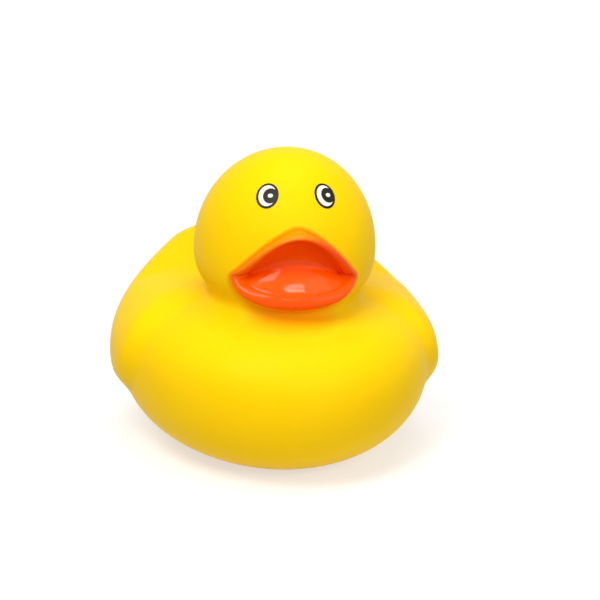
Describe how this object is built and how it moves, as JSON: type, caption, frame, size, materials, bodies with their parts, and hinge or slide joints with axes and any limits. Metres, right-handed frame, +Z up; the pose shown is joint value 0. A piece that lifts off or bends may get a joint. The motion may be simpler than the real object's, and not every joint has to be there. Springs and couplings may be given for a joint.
{
  "type": "rubber duck",
  "caption": "Yellow soft vinyl bath duck with an open orange bill, raised wings, an upturned tail and a squeaker in its flat base.",
  "frame": {"origin": "on the surface it stands on, under the middle of its length and width", "axes": "+Z up, -Y the way the duck faces, +X across from wing to wing"},
  "size_m": [0.0752, 0.082, 0.0715],
  "materials": {
    "vinyl": "satin",
    "plug": "matte",
    "reed": "gloss"
  },
  "bodies": {
    "root": {"duck_body": "vinyl", "squeaker_housing": "plug", "squeaker_reed_block": "plug", "squeaker_reed": "reed"}
  },
  "joints": []
}
